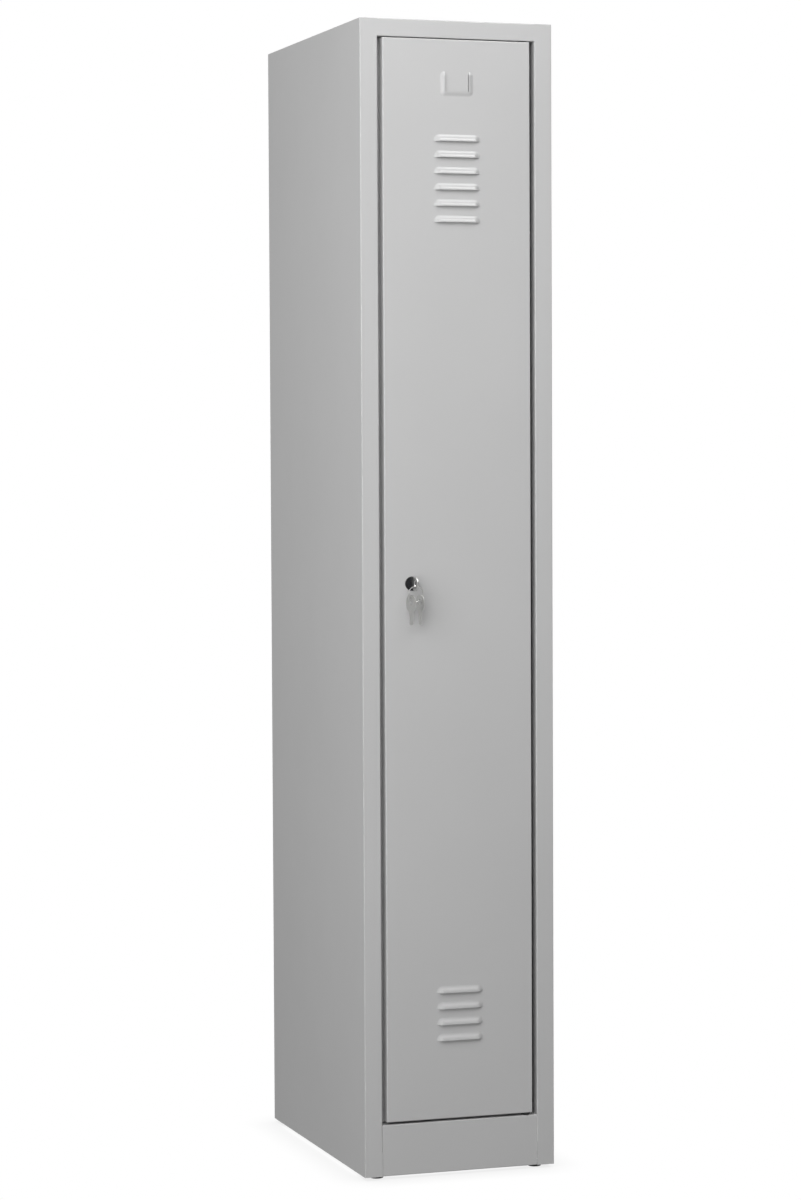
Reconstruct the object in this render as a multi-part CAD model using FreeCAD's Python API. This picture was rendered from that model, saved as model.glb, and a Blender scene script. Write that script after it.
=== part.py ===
import FreeCAD, Part
import math
import os

# Sheet-steel clothing locker with one pivoted door, a cam lock, a hat shelf and a clothes rail.
# Millimetres. X runs to the right, Y from front to back, Z up. The origin is on the floor, under
# the middle of the outline that holds the cabinet and the key that stands out in front of it.

# Overall sizes
HEIGHT = 1800.0
WIDTH = 315.0
DEPTH = 500.0
FOOT_SHOW = 5.0

# Sheet steel: thickness, inside bend radius, and the gap left between sheets that are welded
SHEET = 0.8
BEND = 0.8
FIT = 0.2

# Front frame
STILE = 28.5
LINTEL = 27.0
PLINTH_TOP = 85.5
PLINTH_SETBACK = 1.0
FRAME_RETURN = 20.0
STRIKE_LIP = 18.0
STILE_LIP = 10.0
LINTEL_LIP = 10.0
LIP_RELIEF = 1.0

# Flanges of the carcass sheets
REAR_FLANGE = 15.0
ROOF_FLANGE = 15.0
FLOOR_FLANGE = 20.0
PLINTH_OVERLAP = 11.0
BASE_RETURN = 18.0
BASE_LIP = 8.0

# Wall fixing holes in the back
WALL_HOLE_RADIUS = 4.0
WALL_HOLE_SPACING = 200.0
WALL_HOLE_DROP = 100.0

# Levelling feet and their brackets
FOOT_INSET = 25.5
FOOT_DEPTH = 21.5
PAD_RADIUS = 10.5
PAD_HEIGHT = 8.0
PAD_ROOM = 9.5
STUD_RADIUS = 4.0
STUD_TOP = 36.0
STUD_SEAT = 5.0
THREAD_PLAY = 0.05
FOOT_RISE = 7.5
NOTCH_ROOM = 0.5
BRACKET_UNDER = 16.0
BRACKET_GAUGE = 2.0
BRACKET_LENGTH = 44.0
BRACKET_UPRIGHT = 30.0
NUT_FLATS = 13.0
NUT_HEIGHT = 6.5

# Hat shelf
SHELF_DROP = 320.0
SHELF_SETBACK = 36.0
SHELF_NOSE = 25.0
SHELF_HEM = 10.0
SHELF_UPSTAND = 20.0
CLEAT_LEG = 20.0
CLEAT_GAUGE = 1.2
CLEAT_INSET = 15.0

# Clothes rail, an upright oval tube
RAIL_TALL = 30.0
RAIL_WIDE = 15.0
RAIL_WALL = 1.2
RAIL_DROP = 42.0
RAIL_PLAY = 0.1
HANGER_ROOM = 16.5
HANGER_GAUGE = 2.0
HANGER_FOOT = 24.0
HANGER_RIM = 7.0
CAP_FLANGE = 2.5
CAP_RIM = 2.0
CAP_SPIGOT = 10.0
CAP_GAP = 1.0

# Sliding double coat hooks
HOOK_COUNT = 3
HOOK_PITCH = 60.0
HOOK_WIDE = 13.0
HOOK_PLAY = 0.3
HOOK_WALL = 2.6
HOOK_ARM = 17.0
HOOK_ARM_WIDE = 9.0
HOOK_BAR = 2.4
HOOK_TIP = 3.6

# Door
DOOR_GAP_SIDE = 8.0
DOOR_GAP_TOP = 1.5
DOOR_GAP_BOTTOM = 4.0
DOOR_LIP = 10.0
LIP_END = 8.0
STIFFENER_EDGE = 31.5
STIFFENER_WIDE = 40.0
STIFFENER_DEEP = 12.0
STIFFENER_FLANGE = 10.0
STIFFENER_END = 12.0

# Pressed louvres: where the highest one of each group opens, from the door's top and bottom edge
UPPER_DROP = 157.0
UPPER_COUNT = 6
LOWER_RISE = 198.5
LOWER_COUNT = 4
LOUVRE_PITCH = 25.0
LOUVRE_WIDE = 80.0
LOUVRE_TALL = 12.0
LOUVRE_PROUD = 5.0
HOOD_SINK = 0.1

# Card holder: a U pressed the same way, open towards its middle
CARD_DROP = 48.0
CARD_WIDE = 57.0
CARD_TALL = 41.0
CARD_LIP = 9.0
CARD_PROUD = 2.6

# Door pivots
PIVOT_EDGE = 9.0
PIVOT_DEEP = 8.0
PIN_RADIUS = 3.0
PIN_HEAD_RADIUS = 5.0
PIN_HEAD = 2.0
PIN_REACH = 9.0
PIN_SEAT = 0.05
PIVOT_PLAY = 0.05
BUSH_RADIUS = 5.0
BUSH_FLANGE_RADIUS = 6.8
BUSH_END = 1.5
BUSH_RUN = 0.2
BUSH_ROOM = 0.5
PIVOT_PLATE = 2.0
PIVOT_PLATE_LONG = 26.0

# Rubber buffers on the strike lip
BUFFER_COUNT = 3
BUFFER_RADIUS = 4.0
BUFFER_ROOM = 2.0
BUFFER_GAP = 0.3
BUFFER_END = 160.0

# Cam lock
LOCK_EDGE = 44.0
LOCK_HEIGHT = 930.0
LOCK_FLANGE_RADIUS = 11.0
LOCK_FLANGE = 2.5
LOCK_FLANGE_BEVEL = 0.8
BARREL_RADIUS = 9.25
BARREL_FLATS = 16.5
LOCK_PLAY = 0.1
LOCK_NUT_FLATS = 24.0
LOCK_NUT = 3.0
PLUG_RADIUS = 6.0
PLUG_HEAD_RADIUS = 7.5
PLUG_HEAD = 1.8
PLUG_PLAY = 0.05
PLUG_SQUARE = 8.0
CAM_CLEAR = 1.2
CAM_GAUGE = 2.0
CAM_LONG = 46.0
CAM_EYE_RADIUS = 8.0
CAM_TIP = 11.0
CAM_TIP_ROUND = 2.5
CAM_PLAY = 0.1
SCREW_RADIUS = 2.5
SCREW_LONG = 4.0
SCREW_HEAD_RADIUS = 5.0
SCREW_HEAD = 3.0

# Keys and key ring
KEY_GAUGE = 1.8
KEY_PLAY = 0.2
KEY_GAP = 0.5
BOW_RADIUS = 10.5
BOW_LONG = 27.0
BOW_HOLE = 5.0
BLADE_END = 3.0
BLADE_TALL = 8.0
BLADE_TIP = 2.5
KEY_CUTS = (1.6, 2.4, 1.2, 2.0)
KEY_CUT_START = 5.0
KEY_CUT_PITCH = 3.4
RING_RADIUS = 12.0
RING_THICK = 1.4
RING_WIDE = 2.2
RING_GAP = 0.6
SPARE_SPREAD = 38.0
SPARE_TURN = {"left": 25.0, "right": 15.0}
SPARE_GAP = 0.6

# Places that follow from the sizes
V = FreeCAD.Vector
X_AXIS = V(1, 0, 0)
Y_AXIS = V(0, 1, 0)
Z_AXIS = V(0, 0, 1)
SIDES = {"left": -1, "right": 1}
KEY_REACH = LOCK_FLANGE + KEY_GAP + BOW_LONG
Y_FRONT = (KEY_REACH - DEPTH) / 2
Y_BACK = Y_FRONT + DEPTH
X_OUT = WIDTH / 2
X_IN = X_OUT - SHEET
X_OPEN = X_OUT - STILE
Z_LINTEL = HEIGHT - LINTEL
Y_RETURN = Y_FRONT + FRAME_RETURN
Y_PLINTH = Y_FRONT + PLINTH_SETBACK
Y_BACK_IN = Y_BACK - 2 * SHEET
FLOOR_TOP = PLINTH_TOP - SHEET
FOOT_X = X_OUT - FOOT_INSET
FOOT_Y = {"front": Y_FRONT + FOOT_DEPTH, "rear": Y_BACK - FOOT_DEPTH}
NOTCH_X = FOOT_X - PAD_RADIUS - PAD_ROOM
NOTCH_TOP = STUD_TOP + FOOT_RISE + NOTCH_ROOM
DOOR_X = X_OPEN - DOOR_GAP_SIDE
DOOR_LOW = PLINTH_TOP + DOOR_GAP_BOTTOM
DOOR_HIGH = Z_LINTEL - DOOR_GAP_TOP
Y_DOOR_BACK = Y_RETURN - BUFFER_ROOM
Y_SKIN = Y_FRONT + SHEET
STIFFENER_RIGHT = DOOR_X - STIFFENER_EDGE
STIFFENER_LEFT = STIFFENER_RIGHT - STIFFENER_WIDE
CARD_TOP = DOOR_HIGH - CARD_DROP
PIVOT_X = DOOR_X - PIVOT_EDGE
PIVOT_Y = Y_FRONT + PIVOT_DEEP
LOCK_X = LOCK_EDGE - DOOR_X
LOCK_FACE = Y_FRONT - LOCK_FLANGE
CAM_FRONT = Y_RETURN + SHEET + CAM_CLEAR
BARREL_END = CAM_FRONT - LOCK_PLAY
BLADE_LONG = CAM_FRONT + CAM_GAUGE - SCREW_LONG - BLADE_END - LOCK_FACE + KEY_GAP
BOW_NECK = BOW_LONG - 2 * BOW_RADIUS
KEY_HOLE_Y = LOCK_FACE - KEY_GAP - BOW_LONG + BOW_RADIUS
BAR = BOW_RADIUS - BOW_HOLE
BAR_Z = LOCK_HEIGHT - BOW_HOLE - BAR / 2
RING_Z = BAR_Z + BAR / 2 + RING_GAP + RING_THICK / 2 - RING_RADIUS
SHELF_TOP = HEIGHT - SHELF_DROP
SHELF_FRONT = Y_FRONT + SHELF_SETBACK
SHELF_BACK = Y_BACK_IN - SHEET - FIT
RAIL_Y = (Y_FRONT + Y_BACK) / 2
RAIL_Z = SHELF_TOP - SHEET - RAIL_DROP
HANGER_X = X_IN - CLEAT_LEG - HANGER_ROOM
RAIL_END = HANGER_X + CAP_GAP


def rounded_face(corners, radii):
    """Plane face inside a closed outline, with each corner rounded by its own radius."""
    count = len(corners)
    bends = []
    for i, corner in enumerate(corners):
        back = (corners[i - 1] - corner).normalize()
        ahead = (corners[(i + 1) % count] - corner).normalize()
        half = back.getAngle(ahead) / 2
        reach = radii[i] / math.tan(half)
        middle = corner + (back + ahead).normalize() * (radii[i] / math.sin(half) - radii[i])
        bends.append((corner + back * reach, middle, corner + ahead * reach))
    edges = []
    for i, (start, middle, end) in enumerate(bends):
        if radii[i] > 0:
            edges.append(Part.Arc(start, middle, end).toShape())
        following = bends[(i + 1) % count][0]
        if end.distanceToPoint(following) > 1e-6:
            edges.append(Part.LineSegment(end, following).toShape())
    return Part.Face(Part.Wire(edges))


def folded_face(path, gauge, bend, place):
    """Section of a bent sheet. The path is one skin; the sheet lies to its right, or left if negative."""
    points = [V(a, b, 0) for a, b in path]
    legs = [(end - start).normalize() for start, end in zip(points, points[1:])]
    sides = [V(leg.y, -leg.x, 0) for leg in legs]
    far = [points[0] + sides[0] * gauge]
    near_radii = [0.0]
    far_radii = [0.0]
    for i in range(1, len(legs)):
        both = sides[i - 1] + sides[i]
        far.append(points[i] + both * (gauge / (1 + sides[i - 1].dot(sides[i]))))
        turns_inward = legs[i - 1].cross(legs[i]).z * gauge < 0
        near_radii.append(bend + abs(gauge) if turns_inward else bend)
        far_radii.append(bend if turns_inward else bend + abs(gauge))
    far.append(points[-1] + sides[-1] * gauge)
    corners = [place(point.x, point.y) for point in points + far[::-1]]
    return rounded_face(corners, near_radii + [0.0] + [0.0] + far_radii[::-1])


def fold_along_x(path, gauge, x0, x1, bend=BEND):
    """Bent sheet with its section, drawn in Y and Z, carried from x0 to x1."""
    return folded_face(path, gauge, bend, lambda y, z: V(x0, y, z)).extrude(X_AXIS * (x1 - x0))


def fold_along_y(path, gauge, y0, y1, bend=BEND):
    """Bent sheet with its section, drawn in X and Z, carried from y0 to y1."""
    return folded_face(path, gauge, bend, lambda x, z: V(x, y0, z)).extrude(Y_AXIS * (y1 - y0))


def fold_along_z(path, gauge, z0, z1, bend=BEND):
    """Bent sheet with its section, drawn in X and Y, carried from z0 to z1."""
    return folded_face(path, gauge, bend, lambda x, y: V(x, y, z0)).extrude(Z_AXIS * (z1 - z0))


def block(x0, x1, y0, y1, z0, z1):
    """Box between two corners."""
    return Part.makeBox(x1 - x0, y1 - y0, z1 - z0, V(x0, y0, z0))


def oval_face(tall, wide, x):
    """Upright oval with round ends about the clothes rail's centre line, at one X."""
    corners = [
        V(x, RAIL_Y + wide / 2, RAIL_Z + tall / 2),
        V(x, RAIL_Y - wide / 2, RAIL_Z + tall / 2),
        V(x, RAIL_Y - wide / 2, RAIL_Z - tall / 2),
        V(x, RAIL_Y + wide / 2, RAIL_Z - tall / 2),
    ]
    return rounded_face(corners, [wide / 2] * 4)


def oval(tall, wide, x0, x1):
    """Solid oval bar along the clothes rail from x0 to x1."""
    return oval_face(tall, wide, x0).extrude(X_AXIS * (x1 - x0))


def hexagon(flats, height, base, axis):
    """Hexagonal prism by its width across flats."""
    radius = flats / math.sqrt(3)
    turns = [k * math.pi / 3 for k in range(7)]
    points = [V(radius * math.cos(turn), radius * math.sin(turn), 0) for turn in turns]
    prism = Part.Face(Part.makePolygon(points)).extrude(Z_AXIS * height)
    prism.Placement = FreeCAD.Placement(base, FreeCAD.Rotation(Z_AXIS, axis))
    return prism


def save(name, *pieces):
    """Write one node, whose pieces must each be one sound solid."""
    solids = []
    for piece in pieces:
        clean = piece.removeSplitter()
        if len(clean.Solids) != 1 or not clean.isValid():
            raise ValueError(name + " is not one sound solid")
        solids.append(clean.Solids[0])
    shape = solids[0] if len(solids) == 1 else Part.makeCompound(solids)
    shape.exportStep("parts/" + name + ".step")


def side_panel(side, lip_edge, lip_low, lip_high):
    """Side sheet with the front upright, its return and its lip, and the rear flange, all in one fold."""
    sign = SIDES[side]
    skin = [(X_OPEN, Y_FRONT), (X_OUT, Y_FRONT), (X_OUT, Y_BACK), (X_OUT - REAR_FLANGE, Y_BACK)]
    returned = [(X_OPEN, Y_RETURN)] + skin
    lipped = [(lip_edge, Y_RETURN)] + returned
    bands = [
        (skin, FOOT_SHOW, NOTCH_TOP),
        (returned, NOTCH_TOP, lip_low),
        (lipped, lip_low, lip_high),
        (returned, lip_high, Z_LINTEL),
        (skin, Z_LINTEL, HEIGHT),
    ]
    pieces = []
    for path, low, high in bands:
        mirrored = [(sign * x, y) for x, y in path]
        pieces.append(fold_along_z(mirrored, -sign * SHEET, low, high))
    return pieces[0].fuse(pieces[1:])


def back_panel():
    """Rear sheet inside the rear flanges, with a stiffening fold at its foot between the rear feet."""
    edge = X_IN - BEND - FIT
    skin = Y_BACK - SHEET
    path = [(skin, HEIGHT - SHEET - BEND - FIT), (skin, FOOT_SHOW), (skin - BASE_RETURN, FOOT_SHOW)]
    sheet = fold_along_x(path, SHEET, -edge, edge)
    front = skin - BASE_RETURN
    notches = [
        block(-edge, -NOTCH_X, front, Y_BACK_IN, FOOT_SHOW, FOOT_SHOW + BASE_LIP),
        block(NOTCH_X, edge, front, Y_BACK_IN, FOOT_SHOW, FOOT_SHOW + BASE_LIP),
    ]
    holes = []
    for sign in SIDES.values():
        start = V(sign * WALL_HOLE_SPACING / 2, Y_BACK_IN, HEIGHT - WALL_HOLE_DROP)
        holes.append(Part.makeCylinder(WALL_HOLE_RADIUS, SHEET, start, Y_AXIS))
    return sheet.cut(notches + holes)


def top_panel():
    """Roof sheet folded down in front as the lintel, and down at the sides and back for welding."""
    lintel = [
        (Y_RETURN, Z_LINTEL + LINTEL_LIP),
        (Y_RETURN, Z_LINTEL),
        (Y_FRONT, Z_LINTEL),
        (Y_FRONT, HEIGHT),
        (Y_BACK, HEIGHT),
        (Y_BACK, HEIGHT - REAR_FLANGE),
    ]
    roof = fold_along_x(lintel, SHEET, -X_OPEN, X_OPEN)
    start = Y_SKIN + BEND + FIT
    wings = []
    for sign in SIDES.values():
        path = [(0, HEIGHT), (sign * X_IN, HEIGHT), (sign * X_IN, HEIGHT - ROOF_FLANGE)]
        wings.append(fold_along_y(path, sign * SHEET, start, Y_BACK_IN - FIT))
    bore = Part.makeCylinder(BUSH_RADIUS + PIN_SEAT, SHEET, V(PIVOT_X, PIVOT_Y, Z_LINTEL), Z_AXIS)
    return roof.fuse(wings).cut(bore)


def plinth_panel():
    """Front sheet below the door, folded back over the floor panel and under itself."""
    path = [
        (Y_RETURN + SHEET + FIT + PLINTH_OVERLAP, PLINTH_TOP),
        (Y_PLINTH, PLINTH_TOP),
        (Y_PLINTH, FOOT_SHOW),
        (Y_PLINTH + BASE_RETURN, FOOT_SHOW),
        (Y_PLINTH + BASE_RETURN, FOOT_SHOW + BASE_LIP),
    ]
    edge = X_OPEN - FIT
    sheet = fold_along_x(path, -SHEET, -edge, edge)
    inner = Y_PLINTH + SHEET
    outer = Y_PLINTH + BASE_RETURN
    notches = [
        block(-edge, -NOTCH_X, inner, outer, FOOT_SHOW, FOOT_SHOW + BASE_LIP),
        block(NOTCH_X, edge, inner, outer, FOOT_SHOW, FOOT_SHOW + BASE_LIP),
    ]
    bore = Part.makeCylinder(BUSH_RADIUS + PIN_SEAT, SHEET, V(PIVOT_X, PIVOT_Y, FLOOR_TOP), Z_AXIS)
    return sheet.cut(notches + [bore])


def floor_panel():
    """Floor sheet with its sides folded down against the side panels."""
    edge = X_IN - FIT
    path = [
        (-edge, FLOOR_TOP - FLOOR_FLANGE),
        (-edge, FLOOR_TOP),
        (edge, FLOOR_TOP),
        (edge, FLOOR_TOP - FLOOR_FLANGE),
    ]
    return fold_along_y(path, SHEET, Y_RETURN + SHEET + FIT, Y_BACK_IN - FIT)


def foot_bracket(sign, end):
    """Heavy angle in one corner of the base, welded to the side panel, with the stud's hole."""
    edge = X_IN - FIT
    path = [
        (sign * NOTCH_X, BRACKET_UNDER),
        (sign * edge, BRACKET_UNDER),
        (sign * edge, BRACKET_UNDER + BRACKET_UPRIGHT),
    ]
    front = Y_PLINTH + SHEET + FIT
    start = front if end == "front" else Y_BACK_IN - FIT - BRACKET_LENGTH
    angle = fold_along_y(path, -sign * BRACKET_GAUGE, start, start + BRACKET_LENGTH, BRACKET_GAUGE)
    base = V(sign * FOOT_X, FOOT_Y[end], BRACKET_UNDER)
    return angle.cut(Part.makeCylinder(STUD_RADIUS + FIT, BRACKET_GAUGE, base, Z_AXIS))


def weld_nut(sign, end):
    """Hexagon nut welded on top of a foot bracket."""
    base = V(sign * FOOT_X, FOOT_Y[end], BRACKET_UNDER + BRACKET_GAUGE)
    bore = Part.makeCylinder(STUD_RADIUS + THREAD_PLAY, NUT_HEIGHT, base, Z_AXIS)
    return hexagon(NUT_FLATS, NUT_HEIGHT, base, Z_AXIS).cut(bore)


def foot_pad(sign, end):
    """Round pad of a levelling foot, with the socket that the stud is moulded into."""
    base = V(sign * FOOT_X, FOOT_Y[end], 0)
    seat = base + Z_AXIS * (PAD_HEIGHT - STUD_SEAT)
    pad = Part.makeCylinder(PAD_RADIUS, PAD_HEIGHT, base, Z_AXIS)
    return pad.cut(Part.makeCylinder(STUD_RADIUS, STUD_SEAT, seat, Z_AXIS))


def foot_stud(sign, end):
    """Stud of a levelling foot, a plain bar at its thread's outside diameter."""
    low = PAD_HEIGHT - STUD_SEAT
    base = V(sign * FOOT_X, FOOT_Y[end], low)
    return Part.makeCylinder(STUD_RADIUS, STUD_TOP - low, base, Z_AXIS)


def hat_shelf():
    """Shelf sheet with a hemmed nose in front and an upstand against the back."""
    path = [
        (SHELF_FRONT + SHELF_HEM, SHELF_TOP - SHELF_NOSE),
        (SHELF_FRONT, SHELF_TOP - SHELF_NOSE),
        (SHELF_FRONT, SHELF_TOP),
        (SHELF_BACK, SHELF_TOP),
        (SHELF_BACK, SHELF_TOP + SHELF_UPSTAND),
    ]
    return fold_along_x(path, SHEET, FIT - X_IN, X_IN - FIT)


def shelf_cleat(sign):
    """Angle welded to a side panel, which the shelf lies on."""
    top = SHELF_TOP - SHEET
    path = [(sign * (X_IN - CLEAT_LEG), top), (sign * X_IN, top), (sign * X_IN, top - CLEAT_LEG)]
    start = SHELF_FRONT + CLEAT_INSET
    return fold_along_y(path, sign * CLEAT_GAUGE, start, SHELF_BACK - CLEAT_INSET, CLEAT_GAUGE)


def rail_hanger(sign):
    """Bent strap welded under the shelf, with a round end and an oval eye for the rail."""
    half = RAIL_WIDE / 2 + HANGER_RIM
    top = SHELF_TOP - SHEET
    low = RAIL_Z - RAIL_TALL / 2 - HANGER_RIM
    path = [(sign * (HANGER_X - HANGER_FOOT), top), (sign * HANGER_X, top), (sign * HANGER_X, low)]
    strap = fold_along_y(path, sign * HANGER_GAUGE, RAIL_Y - half, RAIL_Y + half, HANGER_GAUGE)
    corners = [
        V(-HANGER_X, RAIL_Y - half, low),
        V(-HANGER_X, RAIL_Y + half, low),
        V(-HANGER_X, RAIL_Y + half, top),
        V(-HANGER_X, RAIL_Y - half, top),
    ]
    outline = rounded_face(corners, [half, half, 0.0, 0.0]).extrude(X_AXIS * 2 * HANGER_X)
    eye = oval(RAIL_TALL + 2 * RAIL_PLAY, RAIL_WIDE + 2 * RAIL_PLAY, -HANGER_X, HANGER_X)
    return strap.common(outline).cut(eye)


def clothes_rail():
    """Oval tube held in the two hangers."""
    tube = oval(RAIL_TALL, RAIL_WIDE, -RAIL_END, RAIL_END)
    return tube.cut(oval(RAIL_TALL - 2 * RAIL_WALL, RAIL_WIDE - 2 * RAIL_WALL, -RAIL_END, RAIL_END))


def rail_cap(sign):
    """End cap with a rim wider than the hanger's eye, pushed into the tube."""
    bore = RAIL_WALL + RAIL_PLAY
    rim = oval(RAIL_TALL + 2 * CAP_RIM, RAIL_WIDE + 2 * CAP_RIM, RAIL_END, RAIL_END + CAP_FLANGE)
    spigot = oval(RAIL_TALL - 2 * bore, RAIL_WIDE - 2 * bore, RAIL_END - CAP_SPIGOT, RAIL_END)
    cap = rim.fuse(spigot)
    return cap if sign > 0 else cap.mirror(V(0, 0, 0), X_AXIS)


def coat_hook(x):
    """Moulded double hook: an oval loop round the rail, a stem and two curved arms with rolled tips."""
    left = x - HOOK_WIDE / 2
    wall = HOOK_PLAY + HOOK_WALL
    loop = oval(RAIL_TALL + 2 * wall, RAIL_WIDE + 2 * wall, left, left + HOOK_WIDE)
    eye = oval(RAIL_TALL + 2 * HOOK_PLAY, RAIL_WIDE + 2 * HOOK_PLAY, left, left + HOOK_WIDE)
    pivot = V(x - HOOK_ARM_WIDE / 2, RAIL_Y, RAIL_Z - RAIL_TALL / 2 - wall - HOOK_TIP)
    across = X_AXIS * HOOK_ARM_WIDE
    inner = pivot + Y_AXIS * (HOOK_ARM - HOOK_BAR)
    outer = pivot + Y_AXIS * (HOOK_ARM + HOOK_BAR)
    section = Part.Face(Part.makePolygon([inner, outer, outer + across, inner + across, inner]))
    arms = section.revolve(pivot, -X_AXIS, 180)
    tips = []
    for sign in SIDES.values():
        tips.append(Part.makeCylinder(HOOK_TIP, HOOK_ARM_WIDE, pivot + Y_AXIS * (sign * HOOK_ARM), X_AXIS))
    stem_low = pivot.z - HOOK_ARM
    stem = block(pivot.x, pivot.x + HOOK_ARM_WIDE, RAIL_Y - HOOK_BAR, RAIL_Y + HOOK_BAR, stem_low, RAIL_Z)
    return loop.fuse([arms, stem] + tips).cut(eye)


def hood(straight, tall, proud, round_ends):
    """Form under a pressed hood, open along its lower edge at z = 0, with or without quarter-round ends.

    Its ramp is two equal arcs: it leaves the sheet at the top, is steepest halfway, and runs level with
    the sheet again at the open edge. The ends are held as splines, which need fewer facets than tori do.
    """
    turn = 2 * math.atan2(proud, tall)
    radius = tall / 2 / math.sin(turn)
    rise = radius * (1 - math.cos(turn / 2))
    run = radius * math.sin(turn / 2)
    half = straight / 2
    root = V(half, 0, tall)
    halfway = V(half, -proud / 2, tall / 2)
    lip = V(half, -proud, 0)
    foot = V(half, 0, 0)
    edges = [
        Part.Arc(root, V(half, -rise, tall - run), halfway).toShape(),
        Part.Arc(halfway, V(half, rise - proud, run), lip).toShape(),
        Part.LineSegment(lip, foot).toShape(),
        Part.LineSegment(foot, root).toShape(),
    ]
    section = Part.Face(Part.Wire(edges))
    form = section.extrude(X_AXIS * -straight)
    if not round_ends:
        return form
    end = section.revolve(foot, Y_AXIS, 90).toNurbs()
    return form.fuse([end, end.mirror(V(0, 0, 0), X_AXIS)])


def pressings():
    """Outer form of every hood on the door: two groups of louvres and the three lips of the card holder.

    Each starts a little behind the skin's face, so that its ramp crosses the face.
    """
    hoods = []
    groups = ((DOOR_HIGH - UPPER_DROP, UPPER_COUNT), (DOOR_LOW + LOWER_RISE, LOWER_COUNT))
    louvre_straight = LOUVRE_WIDE - 2 * LOUVRE_TALL
    for highest, count in groups:
        for k in range(count):
            louvre = hood(louvre_straight, LOUVRE_TALL, LOUVRE_PROUD + HOOD_SINK, True)
            hoods.append((louvre, 0, 0, highest - k * LOUVRE_PITCH))
    inner = CARD_WIDE / 2 - CARD_LIP
    upright = CARD_TALL - 2 * CARD_LIP
    middle = CARD_TOP - CARD_TALL / 2
    proud = CARD_PROUD + HOOD_SINK
    for sign in SIDES.values():
        hoods.append((hood(upright, CARD_LIP, proud, True), 90 * sign, sign * inner, middle))
    hoods.append((hood(2 * inner, CARD_LIP, proud, False), 180, 0, middle - upright / 2))
    forms = []
    for form, turn, x, z in hoods:
        form.Placement = FreeCAD.Placement(V(x, Y_FRONT + HOOD_SINK, z), FreeCAD.Rotation(Y_AXIS, turn))
        forms.append(form)
    return forms


def lock_bar(radius, flats, y0, y1):
    """Round bar on the lock's axis with two upright flats."""
    bar = Part.makeCylinder(radius, y1 - y0, V(LOCK_X, y0, LOCK_HEIGHT), Y_AXIS)
    slab = block(LOCK_X - flats / 2, LOCK_X + flats / 2, y0, y1, LOCK_HEIGHT - radius, LOCK_HEIGHT + radius)
    return bar.common(slab)


def door_panel():
    """Door sheet folded back on four sides, lipped on the upright ones, with every hood pressed out."""
    section = [
        (DOOR_LIP - DOOR_X, Y_DOOR_BACK),
        (-DOOR_X, Y_DOOR_BACK),
        (-DOOR_X, Y_FRONT),
        (DOOR_X, Y_FRONT),
        (DOOR_X, Y_DOOR_BACK),
        (DOOR_X - DOOR_LIP, Y_DOOR_BACK),
    ]
    upright = fold_along_z(section, -SHEET, DOOR_LOW, DOOR_HIGH)
    corners = [
        V(-DOOR_X, Y_FRONT, DOOR_LOW),
        V(-DOOR_X, Y_FRONT, DOOR_HIGH),
        V(-DOOR_X, Y_DOOR_BACK, DOOR_HIGH),
        V(-DOOR_X, Y_DOOR_BACK, DOOR_LOW),
    ]
    outer_bend = SHEET + BEND
    outline = rounded_face(corners, [outer_bend, outer_bend, 0.0, 0.0]).extrude(X_AXIS * 2 * DOOR_X)
    edge = DOOR_X - outer_bend
    reliefs = []
    flanges = []
    ends = ((DOOR_LOW, 1), (DOOR_HIGH, -1))
    for z, inward in ends:
        path = [(Y_FRONT, z + inward * LIP_END), (Y_FRONT, z), (Y_DOOR_BACK, z)]
        flanges.append(fold_along_x(path, -inward * SHEET, -edge, edge))
        low, high = sorted((z, z + inward * LIP_END))
        lip_front = Y_DOOR_BACK - outer_bend
        reliefs.append(block(-edge, edge, lip_front, Y_DOOR_BACK, low, high))
    sheet = upright.common(outline).cut(reliefs).fuse(flanges)
    outer = pressings()
    inner = [form.translated(Y_AXIS * SHEET) for form in outer]
    sheet = sheet.fuse(outer).cut(inner)
    bores = [lock_bar(BARREL_RADIUS + LOCK_PLAY, BARREL_FLATS + 2 * LOCK_PLAY, Y_FRONT, Y_SKIN)]
    for z in (DOOR_LOW, DOOR_HIGH - SHEET):
        bores.append(Part.makeCylinder(PIN_RADIUS + PIN_SEAT, SHEET, V(PIVOT_X, PIVOT_Y, z), Z_AXIS))
    return sheet.cut(bores)


def door_stiffener():
    """Upright hat section welded inside the door's skin."""
    crown = Y_SKIN + STIFFENER_DEEP
    path = [
        (STIFFENER_LEFT, Y_SKIN),
        (STIFFENER_LEFT + STIFFENER_FLANGE, Y_SKIN),
        (STIFFENER_LEFT + STIFFENER_FLANGE, crown),
        (STIFFENER_RIGHT - STIFFENER_FLANGE, crown),
        (STIFFENER_RIGHT - STIFFENER_FLANGE, Y_SKIN),
        (STIFFENER_RIGHT, Y_SKIN),
    ]
    return fold_along_z(path, -SHEET, DOOR_LOW + STIFFENER_END, DOOR_HIGH - STIFFENER_END)


def pivot_plate(low):
    """Flat plate inside an end flange of the door, which takes the pivot pin's load."""
    right = DOOR_X - SHEET - BEND - FIT
    front = Y_SKIN + BEND + FIT
    plate = block(right - PIVOT_PLATE_LONG, right, front, Y_DOOR_BACK - SHEET - FIT, low, low + PIVOT_PLATE)
    bore = Part.makeCylinder(PIN_RADIUS + PIN_SEAT, PIVOT_PLATE, V(PIVOT_X, PIVOT_Y, low), Z_AXIS)
    return plate.cut(bore)


def pivot_pin(seat, tip):
    """Headed pin from its seat on the pivot plate to its tip in the bush."""
    out = 1 if tip > seat else -1
    shank = Part.makeCylinder(PIN_RADIUS, abs(tip - seat), V(PIVOT_X, PIVOT_Y, min(seat, tip)), Z_AXIS)
    head_low = min(seat, seat - out * PIN_HEAD)
    head = Part.makeCylinder(PIN_HEAD_RADIUS, PIN_HEAD, V(PIVOT_X, PIVOT_Y, head_low), Z_AXIS)
    return shank.fuse(head)


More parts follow.
